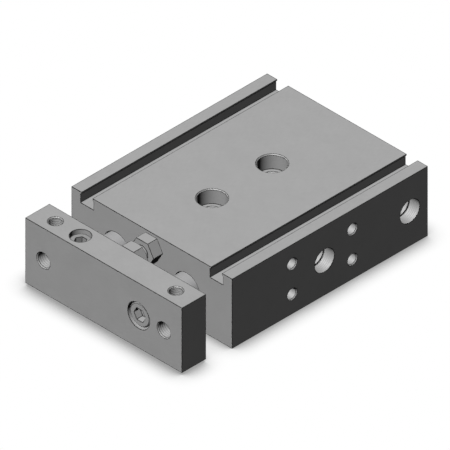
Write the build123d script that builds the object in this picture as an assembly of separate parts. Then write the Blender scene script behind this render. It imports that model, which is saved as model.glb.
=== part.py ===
from build123d import *
import os
from math import asin, cos, degrees, radians, tan

# A double piston cylinder: two parallel pistons in one flat aluminium body push one plate.
# Millimetres. X runs across the body, Y from the plate to the rear of the body, Z up.
# The origin lies under the middle of the whole cylinder, on the surface it rests on.

# Pistons and bores
BORE = 25.0
ROD = 12.0
STROKE = 25.0
AXIS_PITCH = 35.0

# Body block
SIDE_WALL = 10.0
TOP_WALL = 2.5
FRONT_WALL = 4.0

# Stack of lengths along the body, from the front wall to the rear face
ROD_COVER_LENGTH = 36.0
SNAP_RING_THICKNESS = 1.2
EXTENDED_GAP = 0.8
BUMPER_PROUD = 0.5
BUMPER_THICKNESS = 2.5
MAGNET_THICKNESS = 3.5
PISTON_LENGTH = 11.0
REAR_CHAMBER = 6.6
HEAD_COVER_LENGTH = 4.6
REAR_RECESS = 1.1

# Clearances, measured on the radius
RUNNING_GAP = 0.05
SEAT_GAP = 0.02
THREAD_GAP = 0.05
PISTON_GAP = 0.2
WALL_HOLE_GAP = 0.3

# Grooves for the position switches, open along the whole top face
SWITCH_GROOVE_RAIL = 5.0
SWITCH_GROOVE_WIDTH = 5.5
SWITCH_GROOVE_DEPTH = 4.7
SWITCH_GROOVE_LIP = 0.6
SWITCH_GROOVE_UNDERCUT = 0.5

# Mounting holes through the body, between the bores
MOUNT_FROM_FRONT = 30.0
MOUNT_PITCH = 30.0
MOUNT_DRILL = 6.9
MOUNT_THREAD = 8.0
MOUNT_THREAD_DEPTH = 6.0
MOUNT_SINK = 11.0
MOUNT_SINK_DEPTH = 6.3
HOLE_CHAMFER = 0.4

# Tapped holes in the side faces, beside the mounting holes
SIDE_THREAD = 4.2
SIDE_THREAD_DEPTH = 8.0
SIDE_HOLE_SPACING = 13.0

# Air ports, one at each end of the chambers, from both sides
PORT_THREAD = 9.7
PORT_THREAD_DEPTH = 5.0
PORT_DRILL = 8.6
PORT_DRILL_DEPTH = 7.5
PORT_ORIFICE = 3.5
FRONT_PORT_OFFSET = 4.9
REAR_PORT_OFFSET = 2.0
PLUG_LENGTH = 4.5
PLUG_SOCKET = 5.0
PLUG_SOCKET_DEPTH = 2.6

# Snap rings that hold the covers in the bores
SNAP_GROOVE_DEPTH = 0.8
SNAP_RING_WIDTH = 2.6
SNAP_RING_TAPER = 0.5
SNAP_EAR = 2.0
SNAP_EAR_HOLE = 0.8
SNAP_OPENING = 4.0

# Covers and their seals
O_RING = 1.8
O_RING_SIDE_GAP = 0.3
O_RING_FLAT = 0.8
COVER_CHAMFER = 0.5
COVER_O_RING_OFFSET = 8.0
SEAL_POCKET = 18.0
SEAL_LENGTH = 4.5
SEAL_LIP_DEPTH = 2.2
RETAINER_THICKNESS = 1.2
HEAD_DISH = 14.0
HEAD_DISH_DEPTH = 0.8

# Piston details
COLLAR = 15.0
MAGNET_GAP = 0.5
BUMPER_OUTER = 22.0
SPIGOT = 8.0
SPIGOT_PROUD = 1.0
PISTON_LAND = 2.0
PISTON_SEAL_WIDTH = 3.4
PISTON_SEAL_DEPTH = 3.0
PISTON_SEAL_NOTCH = 0.7
WEAR_RING_WIDTH = 2.6
WEAR_RING_DEPTH = 1.0
WEAR_RING_OPENING = 1.0
WEAR_RING_SLIT_ANGLE = 45.0
NUT_POCKET = 16.0
NUT_POCKET_DEPTH = 3.0
PISTON_NUT = 13.0
PISTON_NUT_THICKNESS = 4.0
ROD_CHAMFER = 0.5

# Plate at the front, carried by the two rods
PLATE_INSET = 1.0
PLATE_THICKNESS = 12.0
PLATE_GAP = 12.0
PLATE_HOLE_PITCH = 60.0
PLATE_FRONT_THREAD = 6.0
PLATE_TOP_THREAD = 5.0
PLATE_TOP_DEPTH = 8.0
ROD_SOCKET_DEPTH = 10.5
ROD_SEAT_DEPTH = 2.0

# Cap screw that holds the right rod, from the front of the plate
CAP_SINK = 11.0
CAP_HEAD = 10.0
CAP_HEAD_HEIGHT = 6.0
CAP_HEAD_CHAMFER = 0.4
CAP_RECESS = 0.5
CAP_THREAD = 6.0
CAP_LENGTH = 12.0
CAP_SOCKET = 5.0
CAP_SOCKET_DEPTH = 3.0
CAP_HOLE_GAP = 0.3
ROD_THREAD_SPARE = 3.0

# Set screw that holds the left rod, from the top of the plate
SET_SCREW = 8.0
SET_SCREW_LENGTH = 6.0
SET_SCREW_SOCKET = 4.0
SET_SCREW_SOCKET_DEPTH = 3.0
SET_SCREW_CHAMFER = 0.6

# Stop bolt and lock nut between the plate and the body
STOP_THREAD = 6.0
STOP_HEX = 10.0
STOP_NUT_THICKNESS = 5.0
STOP_HEAD_HEIGHT = 4.7
STOP_SHANK = 15.0
STOP_TRAVEL = 2.0
STOP_HOLE_SPARE = 0.3
STOP_REST_GAP = 0.1
STOP_PAD = 6.0
STOP_PAD_DEPTH = 1.5
STOP_PAD_PROUD = 0.1

HEX_HALF_SECTOR = 30.0
HEX_CHAMFER_ANGLE = 30.0
HEX_FACE_SHARE = 0.95

# Places worked out from the sizes above
BODY_WIDTH = AXIS_PITCH + BORE + 2 * SIDE_WALL
BODY_HEIGHT = BORE + 2 * TOP_WALL
AXIS_HEIGHT = BODY_HEIGHT / 2
PISTON_STACK = BUMPER_THICKNESS + MAGNET_THICKNESS + PISTON_LENGTH
BODY_LENGTH = (
    FRONT_WALL
    + ROD_COVER_LENGTH
    + SNAP_RING_THICKNESS
    + EXTENDED_GAP
    + STROKE
    + PISTON_STACK
    + REAR_CHAMBER
    + HEAD_COVER_LENGTH
    + SNAP_RING_THICKNESS
    + REAR_RECESS
)
OVERALL_LENGTH = PLATE_THICKNESS + PLATE_GAP + BODY_LENGTH
BODY_REAR = OVERALL_LENGTH / 2
BODY_FRONT = BODY_REAR - BODY_LENGTH
PLATE_REAR = BODY_FRONT - PLATE_GAP
PLATE_FRONT = PLATE_REAR - PLATE_THICKNESS
PLATE_MIDDLE = (PLATE_FRONT + PLATE_REAR) / 2
PLATE_WIDTH = BODY_WIDTH - 2 * PLATE_INSET
PLATE_HEIGHT = BODY_HEIGHT - 2 * PLATE_INSET
PLATE_TOP = BODY_HEIGHT - PLATE_INSET

AXES = {"left": -AXIS_PITCH / 2, "right": AXIS_PITCH / 2}
COVER_FRONT = BODY_FRONT + FRONT_WALL
COVER_REAR = COVER_FRONT + ROD_COVER_LENGTH
FRONT_RING_REAR = COVER_REAR + SNAP_RING_THICKNESS
BUMPER_FRONT = FRONT_RING_REAR + EXTENDED_GAP + STROKE
BUMPER_REAR = BUMPER_FRONT + BUMPER_THICKNESS
PISTON_FRONT = BUMPER_FRONT + BUMPER_PROUD
MAGNET_REAR = BUMPER_REAR + MAGNET_THICKNESS
PISTON_REAR = MAGNET_REAR + PISTON_LENGTH
HEAD_FRONT = PISTON_REAR + REAR_CHAMBER
HEAD_REAR = HEAD_FRONT + HEAD_COVER_LENGTH
PORT_PLACES = (FRONT_RING_REAR + FRONT_PORT_OFFSET, HEAD_FRONT - REAR_PORT_OFFSET)
MOUNT_PLACES = (BODY_FRONT + MOUNT_FROM_FRONT, BODY_FRONT + MOUNT_FROM_FRONT + MOUNT_PITCH)

SEAL_FRONT = COVER_FRONT + RETAINER_THICKNESS
SEAL_REAR = SEAL_FRONT + SEAL_LENGTH
BORE_RADIUS = BORE / 2
ROD_RADIUS = ROD / 2
COVER_RADIUS = BORE_RADIUS - SEAT_GAP
O_RING_FLOOR = BORE_RADIUS - O_RING - 2 * SEAT_GAP
O_RING_GROOVE = O_RING + 2 * O_RING_SIDE_GAP
SNAP_GROOVE_RADIUS = BORE_RADIUS + SNAP_GROOVE_DEPTH
PISTON_RADIUS = BORE_RADIUS - PISTON_GAP
SEAL_GROOVE_FRONT = MAGNET_REAR + PISTON_LAND
SEAL_GROOVE_REAR = SEAL_GROOVE_FRONT + PISTON_SEAL_WIDTH
WEAR_GROOVE_REAR = PISTON_REAR - PISTON_LAND
WEAR_GROOVE_FRONT = WEAR_GROOVE_REAR - WEAR_RING_WIDTH
NUT_FRONT = PISTON_REAR - NUT_POCKET_DEPTH
NUT_REAR = NUT_FRONT + PISTON_NUT_THICKNESS

CAP_FLOOR = PLATE_FRONT + CAP_RECESS + CAP_HEAD_HEIGHT
RIGHT_ROD_FRONT = PLATE_REAR - ROD_SEAT_DEPTH
LEFT_ROD_FRONT = PLATE_REAR - ROD_SOCKET_DEPTH
STOP_HEIGHT = PLATE_TOP - STOP_HEX / 2
STOP_HEAD_REAR = BODY_FRONT - STOP_REST_GAP - STOP_PAD_PROUD
STOP_HEAD_FRONT = STOP_HEAD_REAR - STOP_HEAD_HEIGHT
STOP_TIP = STOP_HEAD_FRONT - STOP_SHANK
STOP_HOLE_DEPTH = PLATE_REAR - STOP_TIP + STOP_TRAVEL + STOP_HOLE_SPARE

# How a tool that points down, with its rim at the origin, is turned to enter each face
INTO_TOP = Rot(0, 0, 0)
INTO_BOTTOM = Rot(180, 0, 0)
INTO_FRONT = Rot(90, 0, 0)
INTO_REAR = Rot(-90, 0, 0)
INTO_RIGHT = Rot(0, 90, 0)
INTO_LEFT = Rot(0, -90, 0)
SIDE_FACES = ((-BODY_WIDTH / 2, INTO_LEFT), (BODY_WIDTH / 2, INTO_RIGHT))
HANGING = (Align.CENTER, Align.CENTER, Align.MAX)


def along_y(sketch, front, rear):
    """Push a sketch, drawn with its Y up, from one place along Y to another."""
    return Pos(0, rear, 0) * Rot(90, 0, 0) * extrude(sketch, rear - front)


def turned(x, *outline):
    """Turn an outline of (radius, y) corners about the piston axis at x."""
    section = make_face(Polyline(*outline, close=True))
    return Pos(x, 0, AXIS_HEIGHT) * revolve(section, Axis.Y)


def ring(x, inner, outer, front, rear):
    """Plain ring on the piston axis at x."""
    return turned(x, (inner, front), (outer, front), (outer, rear), (inner, rear))


def hole(radius, depth, chamfer=0.0):
    """Straight hole with a flat floor and, if wanted, a chamfered mouth."""
    tool = Cylinder(radius, depth, align=HANGING)
    if chamfer:
        tool += Cone(radius, radius + chamfer, chamfer, align=HANGING)
    return tool


def hexagon(across_flats):
    """Hexagon with flats above and below."""
    return RegularPolygon(across_flats / 2, 6, major_radius=False)


def hex_socket(across_flats, depth):
    """Tool for a hexagonal socket."""
    return Pos(0, 0, -depth) * extrude(hexagon(across_flats), depth)


def hex_prism(across_flats, height):
    """Hexagonal head or nut standing on the origin, its corners rounded off at the top."""
    corner = across_flats / 2 / cos(radians(HEX_HALF_SECTOR))
    face = across_flats / 2 * HEX_FACE_SHARE
    drop = (corner - face) * tan(radians(HEX_CHAMFER_ANGLE))
    outline = [(0, 0), (corner, 0), (corner, height - drop), (face, height), (0, height)]
    envelope = revolve(Plane.XZ * make_face(Polyline(*outline, close=True)), Axis.Z)
    return extrude(hexagon(across_flats), height) & envelope


def hex_nut(across_flats, thickness, hole_radius):
    """Nut standing on the origin."""
    prism = hex_prism(across_flats, thickness)
    return prism - Pos(0, 0, thickness) * hole(hole_radius, thickness)


# Body block


def switch_groove_outline():
    """Groove with two lips over an undercut, open at the top; its middle is at the origin."""
    mouth = SWITCH_GROOVE_WIDTH / 2
    inside = mouth + SWITCH_GROOVE_UNDERCUT
    shoulder = SWITCH_GROOVE_LIP + SWITCH_GROOVE_UNDERCUT
    half = [
        (0, 0),
        (mouth, 0),
        (mouth, -SWITCH_GROOVE_LIP),
        (inside, -shoulder),
        (inside, -SWITCH_GROOVE_DEPTH),
        (0, -SWITCH_GROOVE_DEPTH),
    ]
    right = make_face(Polyline(*half, close=True))
    return right + mirror(right, about=Plane.YZ)


def body_section():
    """Section of the drawn aluminium bar that the body is cut from."""
    section = Pos(0, AXIS_HEIGHT) * Rectangle(BODY_WIDTH, BODY_HEIGHT)
    groove_middle = BODY_WIDTH / 2 - SWITCH_GROOVE_RAIL - SWITCH_GROOVE_WIDTH / 2
    for x in (-groove_middle, groove_middle):
        section -= Pos(x, BODY_HEIGHT) * switch_groove_outline()
    return section


def bore_tools(x):
    """Everything that is machined on one piston axis."""
    tools = [
        ring(x, 0, BORE_RADIUS, COVER_FRONT, BODY_REAR),
        ring(x, 0, ROD_RADIUS + WALL_HOLE_GAP, BODY_FRONT, COVER_FRONT),
    ]
    for front in (COVER_REAR, HEAD_REAR):
        tools.append(ring(x, 0, SNAP_GROOVE_RADIUS, front, front + SNAP_RING_THICKNESS))
    return tools


def mounting_tools(y):
    """One mounting hole: drilled through, tapped and sunk for a screw head from both faces."""
    tools = [Pos(0, y, BODY_HEIGHT) * hole(MOUNT_DRILL / 2, BODY_HEIGHT)]
    for height, turn in ((BODY_HEIGHT, INTO_TOP), (0, INTO_BOTTOM)):
        face = Pos(0, y, height) * turn
        tools.append(face * hole(MOUNT_SINK / 2, MOUNT_SINK_DEPTH, HOLE_CHAMFER))
        tools.append(face * hole(MOUNT_THREAD / 2, MOUNT_SINK_DEPTH + MOUNT_THREAD_DEPTH))
    return tools


def side_tools(y):
    """The four tapped holes in the side faces beside one mounting hole."""
    tapped = hole(SIDE_THREAD / 2, SIDE_THREAD_DEPTH, HOLE_CHAMFER)
    heights = (AXIS_HEIGHT - SIDE_HOLE_SPACING / 2, AXIS_HEIGHT + SIDE_HOLE_SPACING / 2)
    return [Pos(x, y, z) * turn * tapped for x, turn in SIDE_FACES for z in heights]


def port_tools(y):
    """A port in each side face and the drilling that joins them through both bores."""
    mouth = hole(PORT_THREAD / 2, PORT_THREAD_DEPTH) + hole(PORT_DRILL / 2, PORT_DRILL_DEPTH)
    orifice = Pos(BODY_WIDTH / 2, y, AXIS_HEIGHT) * INTO_RIGHT * hole(PORT_ORIFICE / 2, BODY_WIDTH)
    return [orifice] + [Pos(x, y, AXIS_HEIGHT) * turn * mouth for x, turn in SIDE_FACES]


def housing():
    """The body: bores from the rear, ports, mounting holes and side holes."""
    tools = []
    for x in AXES.values():
        tools += bore_tools(x)
    for y in MOUNT_PLACES:
        tools += mounting_tools(y) + side_tools(y)
    for y in PORT_PLACES:
        tools += port_tools(y)
    return along_y(body_section(), BODY_FRONT, BODY_REAR) - tools


def port_plugs():
    """Screwed plugs that close the two ports on the left."""
    plug = Cylinder(PORT_THREAD / 2 - SEAT_GAP, PLUG_LENGTH, align=HANGING)
    plug -= hex_socket(PLUG_SOCKET, PLUG_SOCKET_DEPTH)
    x = -BODY_WIDTH / 2 + PORT_THREAD_DEPTH - PLUG_LENGTH
    return [Pos(x, y, AXIS_HEIGHT) * INTO_LEFT * plug for y in PORT_PLACES]


# Covers, seals and snap rings, the same on both axes


def snap_ring(x, front):
    """Open spring ring in its groove, with two ears that pliers grip; it opens downwards."""
    outer = SNAP_GROOVE_RADIUS - SEAT_GAP
    inner = outer - SNAP_RING_WIDTH
    ear_reach = inner
    ear_angle = degrees(asin((SNAP_OPENING / 2 + SNAP_EAR) / ear_reach))
    sketch = Circle(outer) - Pos(0, -SNAP_RING_TAPER) * Circle(inner)
    for turn in (-90 - ear_angle, -90 + ear_angle):
        sketch += Rot(0, 0, turn) * Pos(ear_reach, 0) * Circle(SNAP_EAR)
    sketch -= Pos(0, -outer) * Rectangle(SNAP_OPENING, 2 * (outer - inner + SNAP_EAR))
    for turn in (-90 - ear_angle, -90 + ear_angle):
        sketch -= Rot(0, 0, turn) * Pos(ear_reach, 0) * Circle(SNAP_EAR_HOLE)
    sketch &= Circle(outer)
    return Pos(x, 0, AXIS_HEIGHT) * along_y(sketch, front, front + SNAP_RING_THICKNESS)


def cover_o_ring(x, groove_front):
    """O-ring between a cover and its bore, with the flats that it gets when it is squeezed."""
    inner = O_RING_FLOOR + SEAT_GAP
    outer = inner + O_RING
    middle = (inner + outer) / 2
    front = groove_front + O_RING_SIDE_GAP
    rear = front + O_RING
    cut = (O_RING - O_RING_FLAT) / 2
    return turned(
        x,
        (inner, front + cut),
        (middle, front),
        (outer, front + cut),
        (outer, rear - cut),
        (middle, rear),
        (inner, rear - cut),
    )


def rod_cover(x):
    """Long bearing sleeve for one rod, with a pocket for the rod seal at its front."""
    bearing = ROD_RADIUS + RUNNING_GAP
    cover = turned(
        x,
        (bearing, COVER_FRONT),
        (COVER_RADIUS - COVER_CHAMFER, COVER_FRONT),
        (COVER_RADIUS, COVER_FRONT + COVER_CHAMFER),
        (COVER_RADIUS, COVER_REAR),
        (bearing, COVER_REAR),
    )
    cover -= ring(x, 0, SEAL_POCKET / 2, COVER_FRONT, SEAL_REAR)
    groove_front = COVER_REAR - COVER_O_RING_OFFSET
    cover -= ring(x, O_RING_FLOOR, BORE_RADIUS, groove_front, groove_front + O_RING_GROOVE)
    return cover


def seal_retainer(x):
    """Washer that keeps the rod seal in its pocket, against the front wall."""
    inner = ROD_RADIUS + WALL_HOLE_GAP
    return ring(x, inner, SEAL_POCKET / 2 - SEAT_GAP, COVER_FRONT, SEAL_FRONT)


def rod_seal(x):
    """Seal on the rod with two pointed lips; the groove between them faces the pressure."""
    inner = ROD_RADIUS + RUNNING_GAP
    outer = SEAL_POCKET / 2 - SEAT_GAP
    return turned(
        x,
        (inner, SEAL_FRONT),
        (outer, SEAL_FRONT),
        (outer, SEAL_REAR),
        ((inner + outer) / 2, SEAL_REAR - SEAL_LIP_DEPTH),
        (inner, SEAL_REAR),
    )


def head_o_ring_groove_front():
    """Front of the O-ring groove, in the middle of the head cover."""
    return (HEAD_FRONT + HEAD_REAR - O_RING_GROOVE) / 2


def head_cover(x):
    """Disc that closes the rear of one bore, slightly dished outside."""
    cover = turned(
        x,
        (0, HEAD_FRONT),
        (COVER_RADIUS - COVER_CHAMFER, HEAD_FRONT),
        (COVER_RADIUS, HEAD_FRONT + COVER_CHAMFER),
        (COVER_RADIUS, HEAD_REAR),
        (HEAD_DISH / 2, HEAD_REAR),
        (HEAD_DISH / 2 - HEAD_DISH_DEPTH, HEAD_REAR - HEAD_DISH_DEPTH),
        (0, HEAD_REAR - HEAD_DISH_DEPTH),
    )
    front = head_o_ring_groove_front()
    return cover - ring(x, O_RING_FLOOR, BORE_RADIUS, front, front + O_RING_GROOVE)


# Pistons and rods


def piston(x):
    """Piston with a collar for bumper and magnet, two grooves and a pocket for its nut."""
    spigot_hole = SPIGOT / 2 + SEAT_GAP
    body = turned(
        x,
        (spigot_hole, PISTON_FRONT),
        (COLLAR / 2, PISTON_FRONT),
        (COLLAR / 2, MAGNET_REAR),
        (PISTON_RADIUS, MAGNET_REAR),
        (PISTON_RADIUS, PISTON_REAR),
        (NUT_POCKET / 2, PISTON_REAR),
        (NUT_POCKET / 2, NUT_FRONT),
        (spigot_hole, NUT_FRONT),
    )
    seal_floor = BORE_RADIUS - PISTON_SEAL_DEPTH - SEAT_GAP
    wear_floor = BORE_RADIUS - WEAR_RING_DEPTH - SEAT_GAP
    body -= ring(x, seal_floor, BORE_RADIUS, SEAL_GROOVE_FRONT, SEAL_GROOVE_REAR)
    body -= ring(x, wear_floor, BORE_RADIUS, WEAR_GROOVE_FRONT, WEAR_GROOVE_REAR)
    return body


def piston_bumper(x):
    """Soft ring on the collar that meets the snap ring at full stroke."""
    return ring(x, COLLAR / 2 + SEAT_GAP, BUMPER_OUTER / 2, BUMPER_FRONT, BUMPER_REAR)


def magnet(x):
    """Ring magnet on the collar that the position switches sense."""
    return ring(x, COLLAR / 2 + SEAT_GAP, PISTON_RADIUS - MAGNET_GAP, BUMPER_REAR, MAGNET_REAR)


def piston_seal(x):
    """Two-lipped ring between piston and bore."""
    inner = BORE_RADIUS - PISTON_SEAL_DEPTH
    outer = BORE_RADIUS - RUNNING_GAP
    middle = (SEAL_GROOVE_FRONT + SEAL_GROOVE_REAR) / 2
    return turned(
        x,
        (inner, SEAL_GROOVE_FRONT),
        (outer, SEAL_GROOVE_FRONT),
        (outer - PISTON_SEAL_NOTCH, middle),
        (outer, SEAL_GROOVE_REAR),
        (inner, SEAL_GROOVE_REAR),
    )


def wear_ring(x):
    """Split guide ring that carries the piston on the bore."""
    inner = BORE_RADIUS - WEAR_RING_DEPTH
    outer = BORE_RADIUS - RUNNING_GAP
    band = ring(x, inner, outer, WEAR_GROOVE_FRONT, WEAR_GROOVE_REAR)
    middle = (WEAR_GROOVE_FRONT + WEAR_GROOVE_REAR) / 2
    slit_length = 2 * WEAR_RING_WIDTH / cos(radians(WEAR_RING_SLIT_ANGLE))
    slit = Box(WEAR_RING_OPENING, slit_length, BORE, align=(Align.CENTER, Align.CENTER, Align.MIN))
    return band - Pos(x, middle, AXIS_HEIGHT) * Rot(0, 0, WEAR_RING_SLIT_ANGLE) * slit


def piston_nuts():
    """Thin nuts that clamp the pistons on their rods, in the pockets of the pistons."""
    nut = hex_nut(PISTON_NUT, PISTON_NUT_THICKNESS, SPIGOT / 2 + THREAD_GAP)
    return [Pos(x, NUT_FRONT, AXIS_HEIGHT) * INTO_REAR * nut for x in AXES.values()]


def piston_rod(x, front):
    """Ground rod from its seat in the plate to the piston, with a spigot through the piston."""
    spigot_end = NUT_REAR + SPIGOT_PROUD
    return turned(
        x,
        (0, front),
        (ROD_RADIUS - ROD_CHAMFER, front),
        (ROD_RADIUS, front + ROD_CHAMFER),
        (ROD_RADIUS, PISTON_FRONT),
        (SPIGOT / 2, PISTON_FRONT),
        (SPIGOT / 2, spigot_end),
        (0, spigot_end),
    )


def left_rod():
    """The rod that the set screw holds."""
    return piston_rod(AXES["left"], LEFT_ROD_FRONT)


def right_rod():
    """The rod that the cap screw holds, tapped at its front end."""
    thread_depth = CAP_LENGTH - (RIGHT_ROD_FRONT - CAP_FLOOR) + ROD_THREAD_SPARE
    tapped = hole(CAP_THREAD / 2, thread_depth)
    place = Pos(AXES["right"], RIGHT_ROD_FRONT, AXIS_HEIGHT)
    return piston_rod(AXES["right"], RIGHT_ROD_FRONT) - place * INTO_FRONT * tapped


# Plate and its screws


def plate_block():
    """Flat bar across both rods."""
    section = Pos(0, AXIS_HEIGHT) * Rectangle(PLATE_WIDTH, PLATE_HEIGHT)
    return along_y(section, PLATE_FRONT, PLATE_REAR)


def plate_thread_tools():
    """Tapped holes for the tool that the plate carries: through its front, into top and bottom."""
    through = hole(PLATE_FRONT_THREAD / 2, PLATE_THICKNESS, HOLE_CHAMFER)
    blind = hole(PLATE_TOP_THREAD / 2, PLATE_TOP_DEPTH, HOLE_CHAMFER)
    tools = []
    for x in (-PLATE_HOLE_PITCH / 2, PLATE_HOLE_PITCH / 2):
        tools.append(Pos(x, PLATE_FRONT, AXIS_HEIGHT) * INTO_FRONT * through)
        tools.append(Pos(x, PLATE_MIDDLE, PLATE_TOP) * INTO_TOP * blind)
        tools.append(Pos(x, PLATE_MIDDLE, PLATE_INSET) * INTO_BOTTOM * blind)
    return tools


def plate_rod_tools():
    """Seats for both rods, and the holes for the screws that hold them."""
    fit = ROD_RADIUS + SEAT_GAP
    left = Pos(AXES["left"], PLATE_REAR, AXIS_HEIGHT) * INTO_REAR
    right = Pos(AXES["right"], PLATE_REAR, AXIS_HEIGHT) * INTO_REAR
    front = Pos(AXES["right"], PLATE_FRONT, AXIS_HEIGHT) * INTO_FRONT
    top = Pos(AXES["left"], PLATE_MIDDLE, PLATE_TOP) * INTO_TOP
    return [
        left * hole(fit, ROD_SOCKET_DEPTH),
        right * hole(fit, ROD_SEAT_DEPTH),
        front * hole(CAP_THREAD / 2 + CAP_HOLE_GAP, PLATE_THICKNESS),
        front * hole(CAP_SINK / 2, CAP_RECESS + CAP_HEAD_HEIGHT),
        top * hole(SET_SCREW / 2, PLATE_TOP - AXIS_HEIGHT),
    ]


def plate():
    """The plate that joins both rods and carries the load."""
    stop = Pos(0, PLATE_REAR, STOP_HEIGHT) * INTO_REAR * hole(STOP_THREAD / 2, STOP_HOLE_DEPTH)
    return plate_block() - (plate_thread_tools() + plate_rod_tools() + [stop])


def rod_cap_screw():
    """Cap screw sunk in the front of the plate, into the right rod."""
    head = Cylinder(CAP_HEAD / 2, CAP_HEAD_HEIGHT, align=HANGING)
    head = chamfer(head.edges().group_by(Axis.Z)[-1], CAP_HEAD_CHAMFER)
    head -= hex_socket(CAP_SOCKET, CAP_SOCKET_DEPTH)
    shank = Cylinder(CAP_THREAD / 2 - THREAD_GAP, CAP_LENGTH, align=HANGING)
    screw = head + Pos(0, 0, -CAP_HEAD_HEIGHT) * shank
    return Pos(AXES["right"], PLATE_FRONT + CAP_RECESS, AXIS_HEIGHT) * INTO_FRONT * screw


def rod_set_screw():
    """Set screw in the top of the plate, pressing on the left rod."""
    screw = Cylinder(SET_SCREW / 2 - THREAD_GAP, SET_SCREW_LENGTH, align=HANGING)
    screw = chamfer(screw.edges().group_by(Axis.Z)[0], SET_SCREW_CHAMFER)
    screw -= hex_socket(SET_SCREW_SOCKET, SET_SCREW_SOCKET_DEPTH)
    top = AXIS_HEIGHT + ROD_RADIUS + SEAT_GAP + SET_SCREW_LENGTH
    return Pos(AXES["left"], PLATE_MIDDLE, top) * screw


# Stop bolt, its lock nut and its pad


def stop_nut():
    """Nut that locks the stop bolt against the plate."""
    nut = hex_nut(STOP_HEX, STOP_NUT_THICKNESS, STOP_THREAD / 2)
    return Pos(0, PLATE_REAR, STOP_HEIGHT) * INTO_REAR * nut


def stop_bolt():
    """Bolt whose head meets the body when the rods are drawn in, and so sets that end of the stroke."""
    head = extrude(hexagon(STOP_HEX), STOP_HEAD_HEIGHT)
    head -= Pos(0, 0, STOP_HEAD_HEIGHT) * hole(STOP_PAD / 2, STOP_PAD_DEPTH)
    bolt = head + Cylinder(STOP_THREAD / 2 - THREAD_GAP, STOP_SHANK, align=HANGING)
    return Pos(0, STOP_HEAD_FRONT, STOP_HEIGHT) * INTO_REAR * bolt


def stop_pad():
    """Soft pad in the head of the stop bolt."""
    length = STOP_PAD_DEPTH + STOP_PAD_PROUD
    pad = Cylinder(STOP_PAD / 2 - SEAT_GAP, length, align=HANGING)
    return Pos(0, STOP_HEAD_REAR + STOP_PAD_PROUD, STOP_HEIGHT) * INTO_REAR * pad


def all_nodes():
    """Every node by name, each a solid or a list of equal solids."""
    nodes = {
        "housing": housing(),
        "port_plugs": port_plugs(),
        "plate": plate(),
        "piston_rod_left": left_rod(),
        "piston_rod_right": right_rod(),
        "piston_nuts": piston_nuts(),
        "rod_cap_screw": rod_cap_screw(),
        "rod_set_screw": rod_set_screw(),
        "stop_nut": stop_nut(),
        "stop_bolt": stop_bolt(),
        "stop_pad": stop_pad(),
    }
    for side, x in AXES.items():
        nodes[f"rod_cover_{side}"] = rod_cover(x)
        nodes[f"rod_cover_o_ring_{side}"] = cover_o_ring(x, COVER_REAR - COVER_O_RING_OFFSET)
        nodes[f"rod_cover_snap_ring_{side}"] = snap_ring(x, COVER_REAR)
        nodes[f"seal_retainer_{side}"] = seal_retainer(x)
        nodes[f"rod_seal_{side}"] = rod_seal(x)
        nodes[f"head_cover_{side}"] = head_cover(x)
        nodes[f"head_cover_o_ring_{side}"] = cover_o_ring(x, head_o_ring_groove_front())
        nodes[f"head_cover_snap_ring_{side}"] = snap_ring(x, HEAD_REAR)
        nodes[f"piston_{side}"] = piston(x)
        nodes[f"piston_bumper_{side}"] = piston_bumper(x)
        nodes[f"magnet_{side}"] = magnet(x)
        nodes[f"piston_seal_{side}"] = piston_seal(x)
        nodes[f"wear_ring_{side}"] = wear_ring(x)
    return nodes


os.makedirs("parts", exist_ok=True)
for name, shape in all_nodes().items():
    pieces = shape if isinstance(shape, list) else [shape]
    solids = [solid for piece in pieces for solid in piece.solids()]
    node = solids[0] if len(solids) == 1 else Compound(children=solids)
    export_step(node, f"parts/{name}.step")
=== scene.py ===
from math import cos, pi, sin

import bpy
from mathutils import Matrix, Vector


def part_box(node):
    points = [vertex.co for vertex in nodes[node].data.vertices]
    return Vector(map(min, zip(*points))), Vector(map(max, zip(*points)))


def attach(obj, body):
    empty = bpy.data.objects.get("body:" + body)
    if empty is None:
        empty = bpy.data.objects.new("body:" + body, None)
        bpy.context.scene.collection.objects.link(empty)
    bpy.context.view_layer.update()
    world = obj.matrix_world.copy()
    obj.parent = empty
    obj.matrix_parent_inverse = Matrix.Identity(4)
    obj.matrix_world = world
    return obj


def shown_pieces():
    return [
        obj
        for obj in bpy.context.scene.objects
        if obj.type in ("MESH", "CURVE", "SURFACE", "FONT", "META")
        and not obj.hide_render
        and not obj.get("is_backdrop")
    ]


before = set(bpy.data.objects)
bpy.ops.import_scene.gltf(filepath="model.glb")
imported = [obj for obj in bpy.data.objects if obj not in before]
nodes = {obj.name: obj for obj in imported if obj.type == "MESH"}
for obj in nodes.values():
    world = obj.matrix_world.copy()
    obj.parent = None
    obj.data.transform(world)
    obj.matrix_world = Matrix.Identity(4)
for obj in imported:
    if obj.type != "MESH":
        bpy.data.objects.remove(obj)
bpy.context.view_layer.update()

MM = 0.001
WHITE = (1.0, 1.0, 1.0, 1.0)

# The dark line along edges: its reach, its share of the surface's own colour, and how far the rounded
# normal turns from the plain one where the line is full and where it ends, as cosines
EDGE_REACH = 0.42 * MM
EDGE_LEVEL = 0.05
EDGE_FULL_COSINE = 0.987
EDGE_END_COSINE = 0.998
EDGE_SAMPLES = 8

# Size of grain and clouds: how many steps of noise go on a metre along each axis
FINE_GRAIN = (4000, 4000, 4000)
GRAIN_ALONG_BODY = (5000, 420, 5000)
GRAIN_ALONG_PLATE = (420, 5000, 5000)
TURNED_GRAIN = (900, 6000, 900)
GROUND_GRAIN = (500, 9000, 500)
CLOUDS = (120, 120, 120)

# The stretch of the noise that changes colour and gloss; it seldom leaves it
CLOUD_LOW, CLOUD_HIGH = 0.35, 0.65
GRAIN_LOW, GRAIN_HIGH = 0.3, 0.7
GLOSS_CHANGE = 0.08
RELIEF_DEPTH = 0.05 * MM


# Materials


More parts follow.
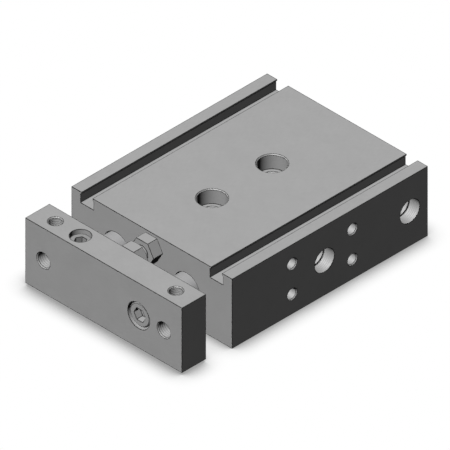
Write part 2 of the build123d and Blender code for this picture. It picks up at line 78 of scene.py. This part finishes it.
class Graph:
    """Short way to add and join the nodes of one material."""

    def __init__(self, name):
        self.material = bpy.data.materials.new(name)
        self.material.use_nodes = True
        self.tree = self.material.node_tree
        self.tree.nodes.clear()
        self.output = self.tree.nodes.new("ShaderNodeOutputMaterial")

    def add(self, kind, **settings):
        node = self.tree.nodes.new("ShaderNode" + kind)
        for key, value in settings.items():
            setattr(node, key, value)
        return node

    def join(self, source, target):
        self.tree.links.new(source, target)

    def maths(self, operation, first, second):
        node = self.add("Math", operation=operation)
        for socket, value in zip(node.inputs, (first, second)):
            if isinstance(value, (int, float)):
                socket.default_value = value
            else:
                self.join(value, socket)
        return node.outputs[0]

    def stretched(self, scale):
        """Object coordinates, in metres, multiplied by a scale along each axis."""
        place = self.add("TexCoord")
        mapping = self.add("Mapping")
        mapping.inputs["Scale"].default_value = scale
        self.join(place.outputs["Object"], mapping.inputs["Vector"])
        return mapping.outputs["Vector"]

    def noise(self, scale, detail=3.0):
        texture = self.add("TexNoise")
        texture.inputs["Scale"].default_value = 1.0
        texture.inputs["Detail"].default_value = detail
        self.join(self.stretched(scale), texture.inputs["Vector"])
        return texture.outputs["Fac"]

    def between(self, value, low, high, start=0.0, end=1.0):
        """Map a value from low-high to start-end, kept within them."""
        node = self.add("MapRange")
        for key, number in zip(("From Min", "From Max", "To Min", "To Max"), (low, high, start, end)):
            node.inputs[key].default_value = number
        self.join(value, node.inputs["Value"])
        return node.outputs["Result"]

    def near_edge(self, reach):
        """1 within that reach of an edge of the mesh, 0 elsewhere."""
        rounded = self.add("Bevel", samples=EDGE_SAMPLES)
        rounded.inputs["Radius"].default_value = reach
        plain = self.add("NewGeometry")
        dot = self.add("VectorMath", operation="DOT_PRODUCT")
        self.join(rounded.outputs["Normal"], dot.inputs[0])
        self.join(plain.outputs["Normal"], dot.inputs[1])
        return self.between(dot.outputs["Value"], EDGE_FULL_COSINE, EDGE_END_COSINE, 1.0, 0.0)

    def blend(self, factor, first, second):
        """Mix two colours, each a tuple or a socket."""
        mix = self.add("Mix", data_type="RGBA")
        self.join(factor, mix.inputs["Factor"])
        for socket, value in ((mix.inputs[6], first), (mix.inputs[7], second)):
            if isinstance(value, tuple):
                socket.default_value = (*value, 1.0)
            else:
                self.join(value, socket)
        return mix.outputs[2]


def cloudy_colour(graph, fine, colour, change):
    """The colour, a little darker and lighter in clouds and grain."""
    broad = graph.noise(CLOUDS, detail=4.0)
    mixed = graph.maths("ADD", graph.maths("MULTIPLY", fine, 0.5), graph.maths("MULTIPLY", broad, 0.5))
    dark = tuple(level * (1 - change) for level in colour)
    light = tuple(min(1.0, level * (1 + change)) for level in colour)
    return graph.blend(graph.between(mixed, CLOUD_LOW, CLOUD_HIGH), dark, light)


def edge_line(graph, ground, colour):
    """The ground with a dark line along edges; the finer line also finds the edges of small chamfers."""
    line = tuple(level * EDGE_LEVEL for level in colour)
    factor = graph.maths("MAXIMUM", graph.near_edge(EDGE_REACH), graph.near_edge(EDGE_REACH / 2))
    return graph.blend(factor, ground, line)


def finish(
    name,
    colour,
    metallic=0.0,
    roughness=0.5,
    specular=0.2,
    grain=FINE_GRAIN,
    change=0.04,
    bump=0.05,
    lined=True,
):
    """Surface with cloudy colour, fine grain in gloss and relief, and a dark line along its edges."""
    graph = Graph(name)
    shader = graph.add("BsdfPrincipled")
    shader.inputs["Metallic"].default_value = metallic
    shader.inputs["Specular IOR Level"].default_value = specular
    fine = graph.noise(grain)
    ground = cloudy_colour(graph, fine, colour, change)
    final = edge_line(graph, ground, colour) if lined else ground
    graph.join(final, shader.inputs["Base Color"])
    smoothest, roughest = roughness * (1 - GLOSS_CHANGE), roughness * (1 + GLOSS_CHANGE)
    gloss = graph.between(fine, GRAIN_LOW, GRAIN_HIGH, smoothest, roughest)
    graph.join(gloss, shader.inputs["Roughness"])
    relief = graph.add("Bump")
    relief.inputs["Strength"].default_value = bump
    relief.inputs["Distance"].default_value = RELIEF_DEPTH
    graph.join(fine, relief.inputs["Height"])
    graph.join(relief.outputs["Normal"], shader.inputs["Normal"])
    graph.join(shader.outputs["BSDF"], graph.output.inputs["Surface"])
    return graph.material


def grey(level):
    return (level, level, level)


def aluminium(name, **settings):
    """Satin grey aluminium, as the body, the plate and their threads have it."""
    return finish(name, grey(0.5), metallic=0.3, roughness=0.66, specular=0.5, **settings)


def plated_steel(name, level):
    return finish(name, grey(level), metallic=0.3, roughness=0.63, specular=0.5, change=0.02)


MATERIALS = {
    "body_aluminium": aluminium("anodised_body", grain=GRAIN_ALONG_BODY, change=0.03),
    "plate_aluminium": aluminium("anodised_plate", grain=GRAIN_ALONG_PLATE),
    "cut_thread": aluminium("cut_thread", lined=False),
    "bearing_alloy": finish(
        "bearing_alloy", grey(0.48), metallic=0.3, roughness=0.6, grain=TURNED_GRAIN
    ),
    "rod_chrome": finish(
        "rod_chrome",
        (0.57, 0.57, 0.575),
        metallic=0.3,
        roughness=0.4,
        grain=GROUND_GRAIN,
        change=0.02,
        bump=0.02,
    ),
    "zinc_steel": plated_steel("zinc_steel", 0.515),
    "dark_steel": plated_steel("dark_steel", 0.415),
    "spring_steel": finish(
        "spring_steel", (0.10, 0.10, 0.105), metallic=0.3, roughness=0.6, specular=0.3, change=0.1
    ),
    "black_rubber": finish(
        "black_rubber", grey(0.018), roughness=0.55, specular=0.4, change=0.15, bump=0.1
    ),
    "urethane": finish("urethane", (0.42, 0.33, 0.17), roughness=0.4, specular=0.4, change=0.05),
    "magnet_ferrite": finish("magnet_ferrite", grey(0.045), roughness=0.6, change=0.12, bump=0.15),
    "bearing_plastic": finish(
        "bearing_plastic", (0.20, 0.23, 0.22), roughness=0.5, specular=0.3, change=0.06
    ),
}

FINISHES = {
    "body_aluminium": ["housing"],
    "plate_aluminium": ["plate"],
    "bearing_alloy": ["rod_cover", "head_cover", "piston"],
    "rod_chrome": ["piston_rod"],
    "zinc_steel": ["rod_cap_screw", "stop_bolt", "stop_nut", "piston_nuts", "port_plugs", "seal_retainer"],
    "dark_steel": ["rod_set_screw"],
    "spring_steel": ["rod_cover_snap_ring", "head_cover_snap_ring"],
    "black_rubber": ["rod_cover_o_ring", "head_cover_o_ring", "rod_seal", "piston_seal"],
    "urethane": ["piston_bumper", "stop_pad"],
    "magnet_ferrite": ["magnet"],
    "bearing_plastic": ["wear_ring"],
}
for slot, families in FINISHES.items():
    for family in families:
        for name in (family, family + "_left", family + "_right"):
            if name in nodes:
                nodes[name].data.materials.clear()
                nodes[name].data.materials.append(MATERIALS[slot])


# Screw threads in the tapped holes

# Each thread in millimetres: radius of the hole, depths between which it runs, pitch, and height of its
# ridge. The ones below the sinks are taller, because their first turn shows from above.
MOUNT_THREAD = {"radius": 4.0, "start": 6.3, "end": 12.2, "pitch": 1.25, "height": 0.4375}
PORT_THREAD = {"radius": 4.85, "start": 0.2, "end": 4.9, "pitch": 0.907, "height": 0.0907}
PLATE_FRONT_THREAD = {"radius": 3.0, "start": 0.5, "end": 11.9, "pitch": 1.0, "height": 0.1}
PLATE_TOP_THREAD = {"radius": 2.5, "start": 0.5, "end": 8.0, "pitch": 0.8, "height": 0.08}

MOUNT_FROM_FRONT = 30.0
MOUNT_PITCH = 30.0
PLATE_HOLE_PITCH = 60.0
PLUG_RADIUS = 4.83

# A ridge goes round in steps. It starts at a quarter turn and rises over a sixth of a turn. Its foot is
# sunk a little in the wall. Half its foot is a share of the pitch, and half its crest a share of that.
TURN_STEPS = 36
START_ANGLE = pi / 2
RISE_STEPS = TURN_STEPS / 6
FOOT_SUNK = 0.01
HALF_FOOT_SHARE = 0.3
CREST_SHARE = 1 / 6


def ridge_section(radius, rise, half):
    """Corners of the ridge as (radius, place along the hole), from its upper foot to its lower one."""
    crest = half * CREST_SHARE
    return (radius, -half), (radius - rise, -crest), (radius - rise, crest), (radius, half)


def add_ridge(vertices, faces, place, thread):
    """Helical ridge on the wall of a hole that runs down from the origin of its place."""
    pitch, start, end = thread["pitch"], thread["start"], thread["end"]
    radius = thread["radius"] + FOOT_SUNK
    half = HALF_FOOT_SHARE * pitch
    count = int((end - start) / pitch * TURN_STEPS)
    first = len(vertices)
    for step in range(count + 1):
        angle = START_ANGLE + 2 * pi * step / TURN_STEPS
        depth = start + half + (end - start - 2 * half) * step / count
        rise = thread["height"] * min(1.0, step / RISE_STEPS, (count - step) / RISE_STEPS)
        for reach, along in ridge_section(radius, rise, half):
            point = Vector((reach * cos(angle), reach * sin(angle), -(depth + along)))
            vertices.append(place @ (point * MM))
    for step in range(count):
        for side in range(3):
            corner = first + 4 * step + side
            faces.append((corner, corner + 1, corner + 5, corner + 4))


def into(x, y, z, towards):
    """Place of a hole whose mouth is at x, y, z in millimetres and that runs that way in."""
    turn = Vector((0, 0, -1)).rotation_difference(Vector(towards))
    return Matrix.Translation(Vector((x, y, z)) * MM) @ turn.to_matrix().to_4x4()


def add_threads(name, body, holes):
    """One piece with the ridges of all these holes, each a place and a thread."""
    vertices, faces = [], []
    for place, thread in holes:
        add_ridge(vertices, faces, place, thread)
    mesh = bpy.data.meshes.new(name)
    mesh.from_pydata(vertices, [], faces)
    mesh.shade_smooth()
    piece = bpy.data.objects.new(name, mesh)
    bpy.context.scene.collection.objects.link(piece)
    mesh.materials.append(MATERIALS["cut_thread"])
    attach(piece, body)


def box_corner(node, end):
    """One corner of a node's box, in millimetres."""
    return [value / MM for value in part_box(node)[end]]


body_low, body_high = box_corner("housing", 0), box_corner("housing", 1)
plate_low, plate_high = box_corner("plate", 0), box_corner("plate", 1)
plugs_low, plugs_high = box_corner("port_plugs", 0), box_corner("port_plugs", 1)
axis_height = (body_low[2] + body_high[2]) / 2
plate_middle = (plate_low[1] + plate_high[1]) / 2
mount_front = body_low[1] + MOUNT_FROM_FRONT


def body_holes():
    """The mounting holes, tapped from both faces, and the open ports on the right."""
    holes = []
    for y in (mount_front, mount_front + MOUNT_PITCH):
        holes.append((into(0, y, body_high[2], (0, 0, -1)), MOUNT_THREAD))
        holes.append((into(0, y, body_low[2], (0, 0, 1)), MOUNT_THREAD))
    for y in (plugs_low[1] + PLUG_RADIUS, plugs_high[1] - PLUG_RADIUS):
        holes.append((into(body_high[0], y, axis_height, (-1, 0, 0)), PORT_THREAD))
    return holes


def plate_holes():
    """The holes for the tool: through the front, and into the top and the bottom."""
    holes = []
    for x in (-PLATE_HOLE_PITCH / 2, PLATE_HOLE_PITCH / 2):
        holes.append((into(x, plate_low[1], axis_height, (0, 1, 0)), PLATE_FRONT_THREAD))
        holes.append((into(x, plate_middle, plate_high[2], (0, 0, -1)), PLATE_TOP_THREAD))
        holes.append((into(x, plate_middle, plate_low[2], (0, 0, 1)), PLATE_TOP_THREAD))
    return holes


add_threads("body_threads", "body", body_holes())
add_threads("plate_threads", "slider", plate_holes())


# Light: a key from the front and above, and a low one from behind that shows in no reflection

# Directions to the lights. The key's follows from how light the photograph's three faces are.
KEY_DIRECTION = (0.082, -0.647, 1.0)
KEY_STRENGTH = 3.65
KEY_ANGLE = 0.1
FILL_DIRECTION = (-0.35, 1.0, -0.05)
FILL_STRENGTH = 2.4
FILL_ANGLE = 0.03

# The surround, as the camera sees it, as reflections see it and as it lights the object
SEEN_LEVEL = 1.0
MIRRORED_LEVEL = 0.01
LIT_LEVEL = 0.004


def sun(name, towards_light, strength, angle):
    """A light without shadows, because the photograph has none on the object."""
    light = bpy.data.lights.new(name, "SUN")
    light.energy = strength
    light.angle = angle
    light.use_shadow = False
    lamp = bpy.data.objects.new(name, light)
    lamp.rotation_mode = "QUATERNION"
    lamp.rotation_quaternion = Vector(towards_light).to_track_quat("Z", "Y")
    bpy.context.scene.collection.objects.link(lamp)
    return lamp


def surround():
    """White to the camera, and almost black in reflections and as a light."""
    world = bpy.data.worlds.new("surround")
    world.use_nodes = True
    tree = world.node_tree
    tree.nodes.clear()

    def background(level):
        node = tree.nodes.new("ShaderNodeBackground")
        node.inputs["Color"].default_value = WHITE
        node.inputs["Strength"].default_value = level
        return node.outputs[0]

    def choose(ray, otherwise, chosen):
        mix = tree.nodes.new("ShaderNodeMixShader")
        tree.links.new(ray, mix.inputs[0])
        tree.links.new(otherwise, mix.inputs[1])
        tree.links.new(chosen, mix.inputs[2])
        return mix.outputs[0]

    rays = tree.nodes.new("ShaderNodeLightPath")
    unseen = choose(rays.outputs["Is Glossy Ray"], background(LIT_LEVEL), background(MIRRORED_LEVEL))
    final = choose(rays.outputs["Is Camera Ray"], unseen, background(SEEN_LEVEL))
    output = tree.nodes.new("ShaderNodeOutputWorld")
    tree.links.new(final, output.inputs["Surface"])
    bpy.context.scene.world = world


sun("key", KEY_DIRECTION, KEY_STRENGTH, KEY_ANGLE)
fill = sun("fill", FILL_DIRECTION, FILL_STRENGTH, FILL_ANGLE)
fill.visible_glossy = False
surround()


# Floor: white, with a soft painted shadow close to what stands on it

FLOOR_REACH = 4.0
# The shadow is painted into the floor's glow, darker where other surfaces are near; its reach and samples
PAINTED_SHADOW_REACH = 9 * MM
PAINTED_SHADOW_SAMPLES = 16

# How light the painted shadow leaves the floor for how open it is, from under the object to far from it
PAINTED_SHADOW_STOPS = ((0.50, 0.36), (0.60, 0.52), (0.78, 0.80), (0.92, 0.96), (1.0, 1.0))


def glow(graph, colour, strength=1.0):
    """Plain light of one colour, or of the colour that a socket gives."""
    shader = graph.add("Emission")
    shader.inputs["Strength"].default_value = strength
    if isinstance(colour, tuple):
        shader.inputs["Color"].default_value = colour
    else:
        graph.join(colour, shader.inputs["Color"])
    return shader.outputs[0]


def painted_shadow_colour(graph):
    """White with a painted shadow that darkens it close to the object."""
    near = graph.add("AmbientOcclusion", samples=PAINTED_SHADOW_SAMPLES)
    near.inputs["Distance"].default_value = PAINTED_SHADOW_REACH
    shade = graph.add("ValToRGB")
    ramp = shade.color_ramp
    while len(ramp.elements) < len(PAINTED_SHADOW_STOPS):
        ramp.elements.new(0.5)
    for element, (openness, level) in zip(ramp.elements, PAINTED_SHADOW_STOPS):
        element.position = openness
        element.color = (level, level, level, 1.0)
    graph.join(near.outputs["AO"], shade.inputs["Fac"])
    return shade.outputs["Color"]


def floor_material():
    """Shows the floor's glow with its painted shadow to the camera, and is almost black in reflections and
    as a light.
    """
    graph = Graph("floor_with_painted_shadow")
    rays = graph.add("LightPath")
    mix = graph.add("MixShader")
    graph.join(rays.outputs["Is Camera Ray"], mix.inputs[0])
    graph.join(glow(graph, WHITE, MIRRORED_LEVEL), mix.inputs[1])
    # The camera sees a glow whose colour carries the painted shadow
    graph.join(glow(graph, painted_shadow_colour(graph)), mix.inputs[2])
    graph.join(mix.outputs[0], graph.output.inputs["Surface"])
    return graph.material


def floor():
    mesh = bpy.data.meshes.new("floor")
    corners = [(x * FLOOR_REACH, y * FLOOR_REACH, 0) for x, y in ((-1, -1), (1, -1), (1, 1), (-1, 1))]
    mesh.from_pydata(corners, [], [(0, 1, 2, 3)])
    piece = bpy.data.objects.new("floor", mesh)
    bpy.context.scene.collection.objects.link(piece)
    mesh.materials.append(floor_material())
    piece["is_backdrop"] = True


floor()


# Camera: the photograph is a parallel projection from the front right corner, above

PHOTO_WIDTH = 158.54 * MM
PHOTO_MIDDLE = Vector((-0.13, -0.13, 15.0)) * MM
CAMERA_DISTANCE = 0.5
NEAREST, FARTHEST = 0.01, 10.0


def camera():
    lens = bpy.data.cameras.new("camera")
    lens.type = "ORTHO"
    lens.ortho_scale = PHOTO_WIDTH
    lens.clip_start = NEAREST
    lens.clip_end = FARTHEST
    eye = bpy.data.objects.new("camera", lens)
    back = Vector((1, -1, 1)).normalized()
    eye.rotation_mode = "QUATERNION"
    eye.rotation_quaternion = back.to_track_quat("Z", "Y")
    eye.location = PHOTO_MIDDLE + back * CAMERA_DISTANCE
    bpy.context.scene.collection.objects.link(eye)
    bpy.context.scene.camera = eye


camera()

# Each surface is lit as if it stood alone, so no face darkens or brightens its neighbour
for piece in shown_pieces():
    piece.visible_diffuse = False
    piece.visible_glossy = False

bpy.context.scene.view_settings.view_transform = "Standard"
